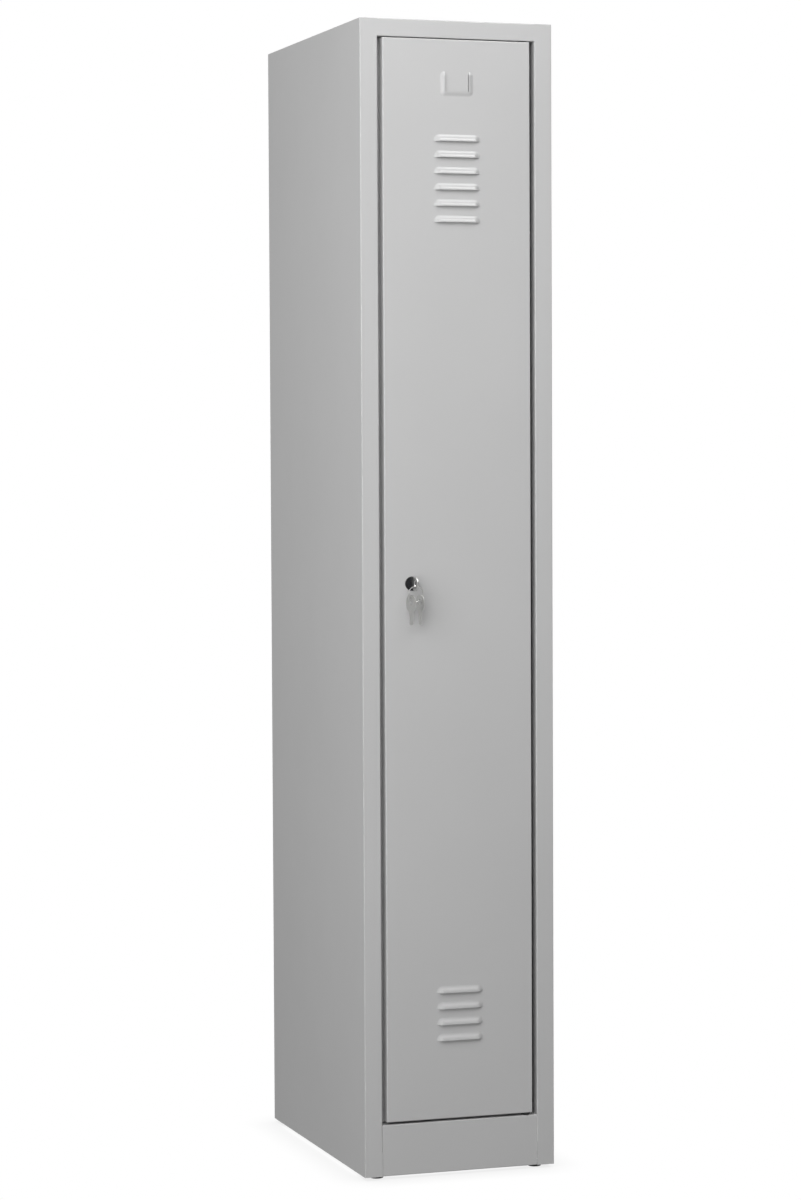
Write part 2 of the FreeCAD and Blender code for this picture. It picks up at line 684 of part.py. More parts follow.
def pivot_bush(frame, flange, out):
    """Moulded bush in the lintel or plinth, its flange in the door gap and its far end closed."""
    axis = Z_AXIS * out
    seat = V(PIVOT_X, PIVOT_Y, frame)
    barrel = Part.makeCylinder(BUSH_RADIUS, PIN_REACH + BUSH_END, seat, axis)
    collar = Part.makeCylinder(BUSH_FLANGE_RADIUS, flange, seat - axis * flange, axis)
    deep = flange + PIN_REACH + PIN_SEAT
    bore = Part.makeCylinder(PIN_RADIUS + PIVOT_PLAY, deep, seat - axis * flange, axis)
    return barrel.fuse(collar).cut(bore)


def door_buffers():
    """Rubber domes on the strike lip, just short of the shut door."""
    proud = Y_RETURN - Y_DOOR_BACK - BUFFER_GAP
    step = (DOOR_HIGH - DOOR_LOW - 2 * BUFFER_END) / (BUFFER_COUNT - 1)
    buffers = []
    for k in range(BUFFER_COUNT):
        seat = V(DOOR_LIP / 2 - DOOR_X, Y_RETURN, DOOR_LOW + BUFFER_END + k * step)
        dome = Part.makeCone(BUFFER_RADIUS, BUFFER_RADIUS - proud / 2, proud, seat, -Y_AXIS)
        buffers.append(dome)
    return buffers


def lock_housing():
    """Lock case: a round flange outside the door and a flatted barrel through it, bored for the plug."""
    flange = Part.makeCylinder(LOCK_FLANGE_RADIUS, LOCK_FLANGE, V(LOCK_X, LOCK_FACE, LOCK_HEIGHT), Y_AXIS)
    rim = [edge for edge in flange.Edges if abs(edge.BoundBox.YMax - LOCK_FACE) < 1e-3]
    flange = flange.makeChamfer(LOCK_FLANGE_BEVEL, rim)
    barrel = lock_bar(BARREL_RADIUS, BARREL_FLATS, Y_FRONT, BARREL_END)
    start = V(LOCK_X, LOCK_FACE, LOCK_HEIGHT)
    bore = Part.makeCylinder(PLUG_RADIUS + PLUG_PLAY, BARREL_END - LOCK_FACE, start, Y_AXIS)
    counterbore = Part.makeCylinder(PLUG_HEAD_RADIUS + PLUG_PLAY, PLUG_HEAD + PLUG_PLAY, start, Y_AXIS)
    return flange.fuse(barrel).cut([bore, counterbore])


def lock_nut():
    """Flat hexagon nut that clamps the housing to the door's skin."""
    base = V(LOCK_X, Y_SKIN, LOCK_HEIGHT)
    bore = Part.makeCylinder(BARREL_RADIUS + LOCK_PLAY, LOCK_NUT, base, Y_AXIS)
    return hexagon(LOCK_NUT_FLATS, LOCK_NUT, base, Y_AXIS).cut(bore)


def lock_plug():
    """Turning plug with a headed front, a keyway and a square tail for the cam."""
    start = V(LOCK_X, LOCK_FACE, LOCK_HEIGHT)
    head = Part.makeCylinder(PLUG_HEAD_RADIUS, PLUG_HEAD, start, Y_AXIS)
    core = Part.makeCylinder(PLUG_RADIUS, CAM_FRONT - LOCK_FACE, start, Y_AXIS)
    half = PLUG_SQUARE / 2
    cam_back = CAM_FRONT + CAM_GAUGE
    tail = block(LOCK_X - half, LOCK_X + half, CAM_FRONT, cam_back, LOCK_HEIGHT - half, LOCK_HEIGHT + half)
    slot_wide = KEY_GAUGE + 2 * KEY_PLAY
    slot_tall = BLADE_TALL + 2 * KEY_PLAY
    keyway = Part.makeBox(slot_wide, BLADE_LONG, slot_tall, start - V(slot_wide / 2, 0, slot_tall / 2))
    seat = V(LOCK_X, cam_back, LOCK_HEIGHT)
    thread = Part.makeCylinder(SCREW_RADIUS + PIN_SEAT, SCREW_LONG + FIT, seat, -Y_AXIS)
    return head.fuse([core, tail]).cut([keyway, thread])


def lock_cam():
    """Flat tongue on the plug's tail, hanging down while the lock is open."""
    eye = Part.makeCylinder(CAM_EYE_RADIUS, CAM_GAUGE, V(LOCK_X, CAM_FRONT, LOCK_HEIGHT), Y_AXIS)
    corners = [
        V(LOCK_X - CAM_EYE_RADIUS, CAM_FRONT, LOCK_HEIGHT),
        V(LOCK_X + CAM_EYE_RADIUS, CAM_FRONT, LOCK_HEIGHT),
        V(LOCK_X + CAM_TIP / 2, CAM_FRONT, LOCK_HEIGHT - CAM_LONG),
        V(LOCK_X - CAM_TIP / 2, CAM_FRONT, LOCK_HEIGHT - CAM_LONG),
    ]
    tongue = rounded_face(corners, [0.0, 0.0, CAM_TIP_ROUND, CAM_TIP_ROUND]).extrude(Y_AXIS * CAM_GAUGE)
    half = PLUG_SQUARE / 2 + CAM_PLAY
    back = CAM_FRONT + CAM_GAUGE
    hole = block(LOCK_X - half, LOCK_X + half, CAM_FRONT, back, LOCK_HEIGHT - half, LOCK_HEIGHT + half)
    return eye.fuse(tongue).cut(hole)


def cam_screw():
    """Cheese-head screw that holds the cam on the plug's tail."""
    seat = V(LOCK_X, CAM_FRONT + CAM_GAUGE, LOCK_HEIGHT)
    head = Part.makeCylinder(SCREW_HEAD_RADIUS, SCREW_HEAD, seat, Y_AXIS)
    shank = Part.makeCylinder(SCREW_RADIUS, SCREW_LONG, seat, -Y_AXIS)
    return head.fuse(shank)


def key_blank():
    """Flat key with its bow's hole at the origin, its blade along +Y and its faces along X."""
    left = V(-KEY_GAUGE / 2, 0, 0)
    across = X_AXIS * KEY_GAUGE
    near = Part.makeCylinder(BOW_RADIUS, KEY_GAUGE, left, X_AXIS)
    far = Part.makeCylinder(BOW_RADIUS, KEY_GAUGE, left + V(0, BOW_NECK, 0), X_AXIS)
    neck = block(-KEY_GAUGE / 2, KEY_GAUGE / 2, 0, BOW_NECK, -BOW_RADIUS, BOW_RADIUS)
    shoulder = BOW_LONG - BOW_RADIUS
    tip = shoulder + BLADE_LONG
    half = BLADE_TALL / 2
    corners = [
        V(left.x, 0, -half),
        V(left.x, 0, half),
        V(left.x, tip - BLADE_TIP, half),
        V(left.x, tip, half - BLADE_TIP),
        V(left.x, tip, BLADE_TIP - half),
        V(left.x, tip - BLADE_TIP, -half),
        V(left.x, 0, -half),
    ]
    blade = Part.Face(Part.makePolygon(corners)).extrude(across)
    cuts = [Part.makeCylinder(BOW_HOLE, KEY_GAUGE, left, X_AXIS)]
    for k, depth in enumerate(KEY_CUTS):
        y = shoulder + KEY_CUT_START + k * KEY_CUT_PITCH
        notch = [V(left.x, y - depth, half), V(left.x, y + depth, half), V(left.x, y, half - depth)]
        cuts.append(Part.Face(Part.makePolygon(notch + notch[:1])).extrude(across))
    return near.fuse([far, neck, blade]).cut(cuts)


def lock_key():
    """Key pushed home in the plug."""
    return key_blank().translated(V(LOCK_X, KEY_HOLE_Y, LOCK_HEIGHT))


def key_ring():
    """Ring of flat wire hanging through the hole in the key's bow."""
    start = V(LOCK_X, KEY_HOLE_Y - RING_WIDE / 2, RING_Z)
    disc = Part.makeCylinder(RING_RADIUS + RING_THICK / 2, RING_WIDE, start, Y_AXIS)
    return disc.cut(Part.makeCylinder(RING_RADIUS - RING_THICK / 2, RING_WIDE, start, Y_AXIS))


def spare_key(side):
    """Key hanging from one side of the ring's lowest point, turned a little to the front.

    The wire climbs as it passes through the key's hole, so the key hangs lower by that climb.
    """
    angle = math.radians(SIDES[side] * SPARE_SPREAD)
    wire = V(RING_RADIUS * math.sin(angle), 0, -RING_RADIUS * math.cos(angle))
    slope = math.tan(math.radians(SPARE_SPREAD))
    climb = KEY_GAUGE / 2 * slope / math.cos(math.radians(SPARE_TURN[side]))
    reach = math.hypot(RING_THICK, RING_WIDE) / 2 / math.cos(angle)
    drop = BOW_HOLE - reach - climb - SPARE_GAP
    key = key_blank().rotated(V(0, 0, 0), X_AXIS, -90).rotated(V(0, 0, 0), Z_AXIS, SPARE_TURN[side])
    return key.translated(V(LOCK_X, KEY_HOLE_Y, RING_Z) + wire - V(0, 0, drop))


def build():
    """Make every node, carcass first, then the door, the lock and the keys."""
    lip_low = PLINTH_TOP + LIP_RELIEF
    save("left_side_panel", side_panel("left", X_OPEN - STRIKE_LIP, lip_low, Z_LINTEL - LIP_RELIEF))
    save("right_side_panel", side_panel("right", X_OPEN + STILE_LIP, lip_low, Z_LINTEL - LIP_RELIEF))
    save("back_panel", back_panel())
    save("top_panel", top_panel())
    save("plinth_panel", plinth_panel())
    save("floor_panel", floor_panel())
    corners = [(end, side) for end in FOOT_Y for side in SIDES]
    for end, side in corners:
        corner = end + "_" + side
        save("foot_bracket_" + corner, foot_bracket(SIDES[side], end))
        save("foot_pad_" + corner, foot_pad(SIDES[side], end))
        save("foot_stud_" + corner, foot_stud(SIDES[side], end))
    save("weld_nuts", *[weld_nut(SIDES[side], end) for end, side in corners])
    save("hat_shelf", hat_shelf())
    for side, sign in SIDES.items():
        save("shelf_cleat_" + side, shelf_cleat(sign))
        save("rail_hanger_" + side, rail_hanger(sign))
        save("rail_cap_" + side, rail_cap(sign))
    save("clothes_rail", clothes_rail())
    for k in range(HOOK_COUNT):
        save("coat_hook_" + str(k + 1), coat_hook((k - (HOOK_COUNT - 1) / 2) * HOOK_PITCH))
    save("door_panel", door_panel())
    save("door_stiffener", door_stiffener())
    plate_low = DOOR_LOW + SHEET
    plate_high = DOOR_HIGH - SHEET - PIVOT_PLATE
    save("pivot_plate_bottom", pivot_plate(plate_low))
    save("pivot_plate_top", pivot_plate(plate_high))
    save("pivot_pin_bottom", pivot_pin(plate_low + PIVOT_PLATE, PLINTH_TOP - PIN_REACH))
    save("pivot_pin_top", pivot_pin(plate_high, Z_LINTEL + PIN_REACH))
    save("pivot_bush_bottom", pivot_bush(PLINTH_TOP, DOOR_GAP_BOTTOM - BUSH_RUN, -1))
    save("pivot_bush_top", pivot_bush(Z_LINTEL, DOOR_GAP_TOP - BUSH_ROOM, 1))
    save("door_buffers", *door_buffers())
    save("lock_housing", lock_housing())
    save("lock_nut", lock_nut())
    save("lock_plug", lock_plug())
    save("lock_cam", lock_cam())
    save("cam_screw", cam_screw())
    save("key_in_lock", lock_key())
    save("key_ring", key_ring())
    for side in SIDES:
        save("spare_key_" + side, spare_key(side))


os.makedirs("parts", exist_ok=True)
build()
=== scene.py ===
import math

import bmesh
import bpy
from mathutils import Matrix, Vector


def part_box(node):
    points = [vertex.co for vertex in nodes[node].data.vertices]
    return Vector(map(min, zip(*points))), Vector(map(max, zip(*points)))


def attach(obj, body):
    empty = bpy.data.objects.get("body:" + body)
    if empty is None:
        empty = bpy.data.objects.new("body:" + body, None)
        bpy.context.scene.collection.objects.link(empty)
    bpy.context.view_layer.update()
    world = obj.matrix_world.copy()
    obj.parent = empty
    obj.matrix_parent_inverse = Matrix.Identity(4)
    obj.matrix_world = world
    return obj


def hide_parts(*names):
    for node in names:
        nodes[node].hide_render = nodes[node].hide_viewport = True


# One clothing locker of folded sheet steel with a single pivoted door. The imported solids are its
# structure. This script gives every piece its finish, and the small forms that the solids leave plain.
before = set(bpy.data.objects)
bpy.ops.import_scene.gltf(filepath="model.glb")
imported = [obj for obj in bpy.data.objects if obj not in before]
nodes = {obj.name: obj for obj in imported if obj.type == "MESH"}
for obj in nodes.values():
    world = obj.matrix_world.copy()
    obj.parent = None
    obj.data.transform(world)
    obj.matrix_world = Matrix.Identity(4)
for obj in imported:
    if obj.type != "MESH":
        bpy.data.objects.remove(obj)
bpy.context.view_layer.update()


# Carcass: two sides, back, top, plinth and floor.
# Cold-rolled steel sheet folded on a press brake and spot welded, then powder coated in one light
# grey inside and out.
def linear(code):
    """Linear colour of an sRGB hex code."""
    parts = [int(code[i:i + 2], 16) / 255 for i in (0, 2, 4)]
    curve = [c / 12.92 if c <= 0.04045 else ((c + 0.055) / 1.055) ** 2.4 for c in parts]
    return (*curve, 1.0)


def per_metre(millimetres):
    """Texture scale whose features are that many millimetres across."""
    return 1000.0 / millimetres


def add_node(tree, kind, inputs=None, **settings):
    """Adds a node, with its settings, and values or links for its inputs."""
    made = tree.nodes.new(kind)
    for name, value in settings.items():
        setattr(made, name, value)
    for name, value in (inputs or {}).items():
        if isinstance(value, bpy.types.NodeSocket):
            tree.links.new(value, made.inputs[name])
        else:
            made.inputs[name].default_value = value
    return made


def new_material(name):
    """Empty material with its tree, and the place on the piece that its patterns read."""
    material = bpy.data.materials.new(name)
    material.use_nodes = True
    tree = material.node_tree
    tree.nodes.clear()
    place = add_node(tree, "ShaderNodeTexCoord").outputs["Object"]
    return material, tree, place


def finish_with(tree, shader):
    """Sends a shader to the material's output."""
    add_node(tree, "ShaderNodeOutputMaterial", {"Surface": shader.outputs[0]})


def paint(material, *names):
    """Gives a CAD node, or several, one material."""
    for name in names:
        nodes[name].data.materials.clear()
        nodes[name].data.materials.append(material)


# Powder coat, baked polyester: satin, with the shallow dimpling that the trade calls orange peel,
# and a faint unevenness where the spray was thicker. The dimples are really 1 to 2 mm across, and are
# drawn at 3 mm so that they show at all.
powder_coat, tree, place = new_material("powder_coat_light_grey")
spray = add_node(tree, "ShaderNodeTexNoise", {"Vector": place, "Scale": per_metre(260), "Detail": 2.0})
tint = add_node(tree, "ShaderNodeMix", {0: spray.outputs["Fac"], 6: linear("C3C3C3"), 7: linear("C9C9C9")},
                data_type="RGBA")
cure = add_node(tree, "ShaderNodeTexNoise", {"Vector": place, "Scale": per_metre(45), "Detail": 3.0})
satin = add_node(tree, "ShaderNodeMapRange", {"Value": cure.outputs["Fac"], "To Min": 0.36, "To Max": 0.44})
peel = add_node(tree, "ShaderNodeTexNoise", {"Vector": place, "Scale": per_metre(3), "Detail": 1.0})
dimples = add_node(tree, "ShaderNodeBump", {
    "Height": peel.outputs["Fac"], "Strength": 0.35, "Distance": 0.00012})
finish_with(tree, add_node(tree, "ShaderNodeBsdfPrincipled", {
    "Base Color": tint.outputs[2], "Roughness": satin.outputs[0], "IOR": 1.5, "Normal": dimples.outputs[0]}))
paint(powder_coat, "left_side_panel", "right_side_panel", "back_panel", "top_panel")
paint(powder_coat, "plinth_panel", "floor_panel")

# Hat shelf, its two cleats and the rail's two hangers.
# Folded steel in the carcass's coat, the cleats and hangers of thicker sheet. The shelf lies on the
# cleats, and the hangers are welded under it.
paint(powder_coat, "hat_shelf", "shelf_cleat_left", "shelf_cleat_right")
paint(powder_coat, "rail_hanger_left", "rail_hanger_right")


# Spot welds: each one is a round dimple about 5 mm across with a low rim, left by the electrodes, and all
# have the carcass's coat. They show on the cleats, the hangers' feet and the foot brackets, and, in the
# door's section, on the flanges of its stiffener.
def new_rule(name, *sizes):
    """Geometry Nodes tree with one named input for each size, and the sockets that they arrive on."""
    rule = bpy.data.node_groups.new(name, "GeometryNodeTree")
    rule.interface.new_socket("Geometry", in_out="INPUT", socket_type="NodeSocketGeometry")
    rule.interface.new_socket("Geometry", in_out="OUTPUT", socket_type="NodeSocketGeometry")
    for size in sizes:
        kind = "NodeSocketInt" if size in ("Columns", "Rows") else "NodeSocketFloat"
        rule.interface.new_socket(size, in_out="INPUT", socket_type=kind)
    return rule, add_node(rule, "NodeGroupInput").outputs


def end_rule(rule, geometry, material):
    """Ends a tree: its instances are made real and get their material."""
    real = add_node(rule, "GeometryNodeRealizeInstances", {0: geometry})
    coated = add_node(rule, "GeometryNodeSetMaterial", {"Geometry": real.outputs[0], "Material": material})
    add_node(rule, "NodeGroupOutput", {0: coated.outputs[0]})


def made_by(rule, name, mesh, sizes):
    """Piece with the plain mesh that a tree makes of a starting mesh and its sizes."""
    piece = bpy.data.objects.new(name, mesh)
    bpy.context.scene.collection.objects.link(piece)
    working = piece.modifiers.new("rule", "NODES")
    working.node_group = rule
    for socket in rule.interface.items_tree:
        if socket.name in sizes:
            working[socket.identifier] = sizes[socket.name]
    result = piece.evaluated_get(bpy.context.evaluated_depsgraph_get())
    piece.data = bpy.data.meshes.new_from_object(result)
    piece.modifiers.clear()
    return piece


weld, weld_sizes = new_rule("spot_weld", "Radius", "Rim", "Flatness")
weld_circle = add_node(weld, "GeometryNodeCurvePrimitiveCircle", {
    "Resolution": 16, "Radius": weld_sizes["Radius"]})
rim_circle = add_node(weld, "GeometryNodeCurvePrimitiveCircle", {
    "Resolution": 6, "Radius": weld_sizes["Rim"]})
rim = add_node(weld, "GeometryNodeCurveToMesh", {
    "Curve": weld_circle.outputs[0], "Profile Curve": rim_circle.outputs[0]})
flattening = add_node(weld, "ShaderNodeCombineXYZ", {"X": 1.0, "Y": 1.0, "Z": weld_sizes["Flatness"]})
pressed = add_node(weld, "GeometryNodeTransform", {
    "Geometry": rim.outputs[0], "Scale": flattening.outputs[0]})
sheet_way = add_node(weld, "GeometryNodeInputNamedAttribute", {"Name": "facing"}, data_type="FLOAT_VECTOR")
outward = add_node(weld, "FunctionNodeAlignRotationToVector", {"Vector": sheet_way.outputs[0]}, axis="Z")
placed = add_node(weld, "GeometryNodeInstanceOnPoints", {
    "Points": weld_sizes["Geometry"], "Instance": pressed.outputs[0], "Rotation": outward.outputs[0]})
end_rule(weld, placed.outputs[0], powder_coat)


def spot_welds(name, body, spots):
    """Welds on one body, from places and the way that the sheet faces there."""
    mesh = bpy.data.meshes.new(name)
    mesh.from_pydata([spot for spot, way in spots], [], [])
    facing = mesh.attributes.new("facing", "FLOAT_VECTOR", "POINT")
    for entry, (spot, way) in zip(facing.data, spots):
        entry.vector = way
    piece = made_by(weld, name, mesh, {"Radius": 0.0023, "Rim": 0.0004, "Flatness": 0.35})
    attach(piece, body)


def spaced(low, high, margin, count):
    """Even places between two ends, each end left by a margin."""
    step = (high - low - 2 * margin) / (count - 1)
    return [low + margin + k * step for k in range(count)]


corners = [(end, side) for end in ("front", "rear") for side in ("left", "right")]
inward = {"left": 1.0, "right": -1.0}
outer = {"left": 0, "right": 1}
cleat_gauge = 0.0012
cleat_weld_height = 0.008
cleat_weld_margin = 0.025
hanger_gauge = 0.002
hanger_weld_inset = 0.007
bracket_gauge = 0.002
bracket_weld_inset = 0.009
cabinet_spots = []
for side, way in inward.items():
    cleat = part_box(f"shelf_cleat_{side}")
    wall = cleat[outer[side]].x + way * cleat_gauge
    for y in spaced(cleat[0].y, cleat[1].y, cleat_weld_margin, count=6):
        cabinet_spots.append(((wall, y, cleat[0].z + cleat_weld_height), (way, 0.0, 0.0)))
    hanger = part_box(f"rail_hanger_{side}")
    hanger_foot = hanger[1 - outer[side]].x - way * hanger_weld_inset
    for y in spaced(hanger[0].y, hanger[1].y, hanger_weld_inset, count=2):
        cabinet_spots.append(((hanger_foot, y, hanger[1].z - hanger_gauge), (0.0, 0.0, -1.0)))
for end, side in corners:
    way = inward[side]
    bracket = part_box(f"foot_bracket_{end}_{side}")
    wall = bracket[outer[side]].x + way * bracket_gauge
    for y in spaced(bracket[0].y, bracket[1].y, bracket_weld_inset, count=2):
        cabinet_spots.append(((wall, y, bracket[1].z - bracket_weld_inset), (way, 0.0, 0.0)))
spot_welds("cabinet_spot_welds", "cabinet", cabinet_spots)

# Clothes rail: an oval steel tube across the locker, held in the two hangers.
# It is chrome plated after drawing, so fine lines run along it. They are 0.8 mm wide here, wider than
# real ones, so that they show.
chrome, tree, place = new_material("chrome_plated_tube")
along = add_node(tree, "ShaderNodeMapping", {"Vector": place, "Scale": (0.02, 1.0, 1.0)})
lines = add_node(tree, "ShaderNodeTexNoise", {
    "Vector": along.outputs[0], "Scale": per_metre(0.8), "Detail": 2.0})
gloss = add_node(tree, "ShaderNodeMapRange", {"Value": lines.outputs["Fac"], "To Min": 0.08, "To Max": 0.16})
finish_with(tree, add_node(tree, "ShaderNodeBsdfPrincipled", {
    "Base Color": linear("D9DBDC"), "Metallic": 1.0, "Roughness": gloss.outputs[0]}))
paint(chrome, "clothes_rail")


# Coat hooks and the rail's end caps: injection-moulded black plastic with rounded edges.
# The hooks hang round the rail and slide along it; the caps are pushed into the tube's ends. The mould's
# grain leaves them matt. It is 0.7 mm across here, coarser than a real one, so that it shows.
def eased(node, body, material, width):
    """Copy of a CAD node with its edges rounded, which stands for it."""
    shape = bmesh.new()
    shape.from_mesh(nodes[node].data)
    bmesh.ops.remove_doubles(shape, verts=shape.verts, dist=1e-6)
    bmesh.ops.dissolve_limit(shape, angle_limit=math.radians(0.5), verts=shape.verts, edges=shape.edges)
    mesh = bpy.data.meshes.new(node + "_eased")
    shape.to_mesh(mesh)
    shape.free()
    mesh.attributes.remove(mesh.attributes["custom_normal"])
    mesh.materials.clear()
    mesh.materials.append(material)
    piece = bpy.data.objects.new(node + "_eased", mesh)
    bpy.context.scene.collection.objects.link(piece)
    rounding = piece.modifiers.new("rounding", "BEVEL")
    rounding.width = width
    rounding.segments = 2
    rounding.limit_method = "ANGLE"
    rounding.angle_limit = math.radians(35)
    rounding.harden_normals = True
    mesh.shade_smooth()
    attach(piece, body)
    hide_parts(node)
    return piece


moulded, tree, place = new_material("moulded_black_polyamide")
grain = add_node(tree, "ShaderNodeTexNoise", {"Vector": place, "Scale": per_metre(0.7), "Detail": 2.0})
matt = add_node(tree, "ShaderNodeMapRange", {"Value": grain.outputs["Fac"], "To Min": 0.42, "To Max": 0.58})
spark = add_node(tree, "ShaderNodeBump", {
    "Height": grain.outputs["Fac"], "Strength": 0.3, "Distance": 0.00005})
finish_with(tree, add_node(tree, "ShaderNodeBsdfPrincipled", {
    "Base Color": linear("1E1E1F"), "Roughness": matt.outputs[0], "IOR": 1.53, "Normal": spark.outputs[0]}))
for number in (1, 2, 3):
    eased(f"coat_hook_{number}", f"hook_{number}", moulded, width=0.0007)
for side in ("left", "right"):
    eased(f"rail_cap_{side}", "cabinet", moulded, width=0.0006)

# Foot brackets and weld nuts: zinc-plated steel, welded into the corners of the base.
# Passivated zinc is a soft bluish grey with a crystal mottle, drawn 1.6 mm across so that it shows.
zinc, tree, place = new_material("zinc_plated_steel")
crystal = add_node(tree, "ShaderNodeTexVoronoi", {"Vector": place, "Scale": per_metre(1.6)})
mottle = add_node(tree, "ShaderNodeMix", {
    0: crystal.outputs["Distance"], 6: linear("A9ADB2"), 7: linear("C4C6C7")}, data_type="RGBA")
dull = add_node(tree, "ShaderNodeMapRange", {
    "Value": crystal.outputs["Distance"], "To Min": 0.28, "To Max": 0.42})
finish_with(tree, add_node(tree, "ShaderNodeBsdfPrincipled", {
    "Base Color": mottle.outputs[2], "Metallic": 1.0, "Roughness": dull.outputs[0]}))
paint(zinc, "weld_nuts", *[f"foot_bracket_{end}_{side}" for end, side in corners])

# Levelling feet: a black moulded pad with an M8 zinc-plated stud, screwed through the weld nut.
# The stud's thread is rolled. Its mesh is a grid rolled up round the stud, whose radius follows the
# helix, with a chamfer at both ends, which the last row of points closes.
thread, thread_sizes = new_rule("rolled_thread", "Length", "Pitch", "Crest", "Core", "Columns", "Rows")
sheet = add_node(thread, "GeometryNodeMeshGrid", {
    "Size X": 1.0, "Size Y": thread_sizes["Length"],
    "Vertices X": thread_sizes["Columns"], "Vertices Y": thread_sizes["Rows"]})
grid_place = add_node(thread, "GeometryNodeInputPosition")
point = add_node(thread, "ShaderNodeSeparateXYZ", {0: grid_place.outputs[0]})
turns = add_node(thread, "ShaderNodeMath", {
    0: point.outputs["Y"], 1: thread_sizes["Pitch"]}, operation="DIVIDE")
lead = add_node(thread, "ShaderNodeMath", {0: turns.outputs[0], 1: point.outputs["X"]}, operation="SUBTRACT")
# The ridge runs from 0 in the middle of the groove to 0.5 on the crest, and both are flat.
ridge = add_node(thread, "ShaderNodeMath", {0: lead.outputs[0], 1: 0.5}, operation="PINGPONG")
groove_end, crest_start = 0.12, 0.44
flank = add_node(thread, "ShaderNodeMapRange", {
    "Value": ridge.outputs[0], "From Min": groove_end, "From Max": crest_start,
    "To Min": thread_sizes["Core"], "To Max": thread_sizes["Crest"]})
half = add_node(thread, "ShaderNodeMath", {0: thread_sizes["Length"], 1: 0.5}, operation="MULTIPLY")
off_middle = add_node(thread, "ShaderNodeMath", {0: point.outputs["Y"]}, operation="ABSOLUTE")
from_end = add_node(thread, "ShaderNodeMath", {
    0: half.outputs[0], 1: off_middle.outputs[0]}, operation="SUBTRACT")
tip_radius = 0.0028
chamfer = add_node(thread, "ShaderNodeMath", {0: from_end.outputs[0], 1: tip_radius}, operation="ADD")
drawn_in = add_node(thread, "ShaderNodeMath", {
    0: flank.outputs[0], 1: chamfer.outputs[0]}, operation="MINIMUM")
last_row = 0.00001
inside = add_node(thread, "ShaderNodeMath", {0: from_end.outputs[0], 1: last_row}, operation="GREATER_THAN")
radius = add_node(thread, "ShaderNodeMath", {
    0: drawn_in.outputs[0], 1: inside.outputs[0]}, operation="MULTIPLY")
angle = add_node(thread, "ShaderNodeMath", {0: point.outputs["X"], 1: math.tau}, operation="MULTIPLY")
cosine = add_node(thread, "ShaderNodeMath", {0: angle.outputs[0]}, operation="COSINE")
sine = add_node(thread, "ShaderNodeMath", {0: angle.outputs[0]}, operation="SINE")
across = add_node(thread, "ShaderNodeMath", {
    0: radius.outputs[0], 1: cosine.outputs[0]}, operation="MULTIPLY")
deep = add_node(thread, "ShaderNodeMath", {0: radius.outputs[0], 1: sine.outputs[0]}, operation="MULTIPLY")
rolled = add_node(thread, "ShaderNodeCombineXYZ", {
    "X": across.outputs[0], "Y": deep.outputs[0], "Z": point.outputs["Y"]})
bar = add_node(thread, "GeometryNodeSetPosition", {
    "Geometry": sheet.outputs[0], "Position": rolled.outputs[0]})
closed = add_node(thread, "GeometryNodeMergeByDistance", {"Geometry": bar.outputs[0], "Distance": 0.000005})
end_rule(thread, closed.outputs[0], zinc)
thread_pitch = 0.00125
rows_per_turn = 6
for end, side in corners:
    eased(f"foot_pad_{end}_{side}", f"foot_{end}_{side}", moulded, width=0.0010)
    stud_low, stud_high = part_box(f"foot_stud_{end}_{side}")
    length = stud_high.z - stud_low.z
    stud = made_by(thread, f"foot_thread_{end}_{side}", bpy.data.meshes.new("stud"), {
        "Length": length, "Pitch": thread_pitch, "Crest": 0.0040, "Core": 0.00323,
        "Columns": 24, "Rows": round(length / thread_pitch * rows_per_turn) + 1})
    stud.data.transform(Matrix.Translation((stud_low + stud_high) / 2))
    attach(stud, f"foot_{end}_{side}")
    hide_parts(f"foot_stud_{end}_{side}")

# Door: one sheet folded into a shallow tray, with louvres and a card holder pressed out of it, and an
# upright hat-section stiffener welded inside. Coated with the carcass.
paint(powder_coat, "door_panel", "door_stiffener", "pivot_plate_bottom", "pivot_plate_top")
stiffener_low, stiffener_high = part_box("door_stiffener")
stiffener_flange = 0.010
stiffener_gauge = 0.0008
stiffener_weld_margin = 0.030
door_spots = []
for x in (stiffener_low.x + stiffener_flange / 2, stiffener_high.x - stiffener_flange / 2):
    for z in spaced(stiffener_low.z, stiffener_high.z, stiffener_weld_margin, count=13):
        door_spots.append(((x, stiffener_low.y + stiffener_gauge, z), (0.0, 1.0, 0.0)))
spot_welds("door_spot_welds", "door", door_spots)

# Door pivots: a pin at the top and one at the bottom, headed on the door's plates.
# The pins are zinc-plated steel and turn in black moulded bushes in the frame.
paint(zinc, "pivot_pin_bottom", "pivot_pin_top")
paint(moulded, "pivot_bush_bottom", "pivot_bush_top")

# Door buffers: low round pads stuck on the strike lip, which quieten the closing door.
# Soft black rubber with a faint dusty bloom.
rubber, tree, place = new_material("soft_black_rubber")
bloom = add_node(tree, "ShaderNodeTexNoise", {"Vector": place, "Scale": per_metre(2), "Detail": 3.0})
dusty = add_node(tree, "ShaderNodeMix", {0: bloom.outputs["Fac"], 6: linear("1B1B1B"), 7: linear("2A2A2A")},
                 data_type="RGBA")
finish_with(tree, add_node(tree, "ShaderNodeBsdfPrincipled", {
    "Base Color": dusty.outputs[2], "Roughness": 0.8, "IOR": 1.52}))
paint(rubber, "door_buffers")

